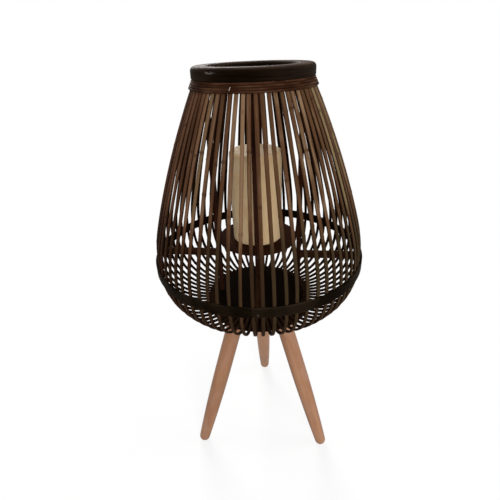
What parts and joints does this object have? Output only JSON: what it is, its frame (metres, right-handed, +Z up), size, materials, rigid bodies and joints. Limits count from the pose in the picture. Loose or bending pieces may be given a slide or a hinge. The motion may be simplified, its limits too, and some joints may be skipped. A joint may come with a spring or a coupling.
{
  "type": "candle lantern",
  "caption": "Pear-shaped candle lantern: a cage of bent dark bamboo ribs under a stout dark rim, on splayed turned beech legs, with a pillar candle inside.",
  "frame": {"origin": "on the floor, under the middle of the cage", "axes": "+Z up along the axis of the cage, -Y to the side that the picture shows"},
  "size_m": [0.3084, 0.3084, 0.6292],
  "materials": {
    "rib_bamboo": "stained satin",
    "dark_cane": "stained satin",
    "rattan": "stained satin",
    "dark_wood": "stained satin",
    "beech": "clear satin",
    "wax": "satin wax",
    "wick_cotton": "matte",
    "steel": "satin"
  },
  "bodies": {
    "lantern": {"arm_back": "dark_wood", "arm_front": "dark_wood", "arm_left": "dark_wood", "arm_pins": "steel", "arm_right": "dark_wood", "base_disc": "dark_wood", "belly_hoop": "dark_cane", "candle_plate": "dark_wood", "leg_back": "beech", "leg_front_left": "beech", "leg_front_right": "beech", "leg_screw_back": "steel", "leg_screw_front_left": "steel", "leg_screw_front_right": "steel", "plate_pins": "steel", "post_back": "dark_wood", "post_front": "dark_wood", "post_left": "dark_wood", "post_pins": "steel", "post_right": "dark_wood", "rib_set_01": "rib_bamboo", "rib_set_02": "rib_bamboo", "rib_set_03": "rib_bamboo", "rib_set_04": "rib_bamboo", "rib_set_05": "rib_bamboo", "rib_set_06": "rib_bamboo", "rib_set_07": "rib_bamboo", "rib_set_08": "rib_bamboo", "rib_set_09": "rib_bamboo", "rib_set_10": "rib_bamboo", "rib_set_11": "rib_bamboo", "rib_set_12": "rib_bamboo", "rib_set_13": "rib_bamboo", "rib_set_14": "rib_bamboo", "rib_set_15": "rib_bamboo", "rib_set_16": "rib_bamboo", "rib_set_17": "rib_bamboo", "rim_binding": "rattan", "rim_hoop": "dark_cane"},
    "candle_body": {"candle": "wax", "wick": "wick_cotton"}
  },
  "joints": [
    {"name": "candle_lift", "type": "slide", "parent": "lantern", "child": "candle_body", "axis": [0, 0, 1], "range_m": [0, 0.245]}
  ]
}
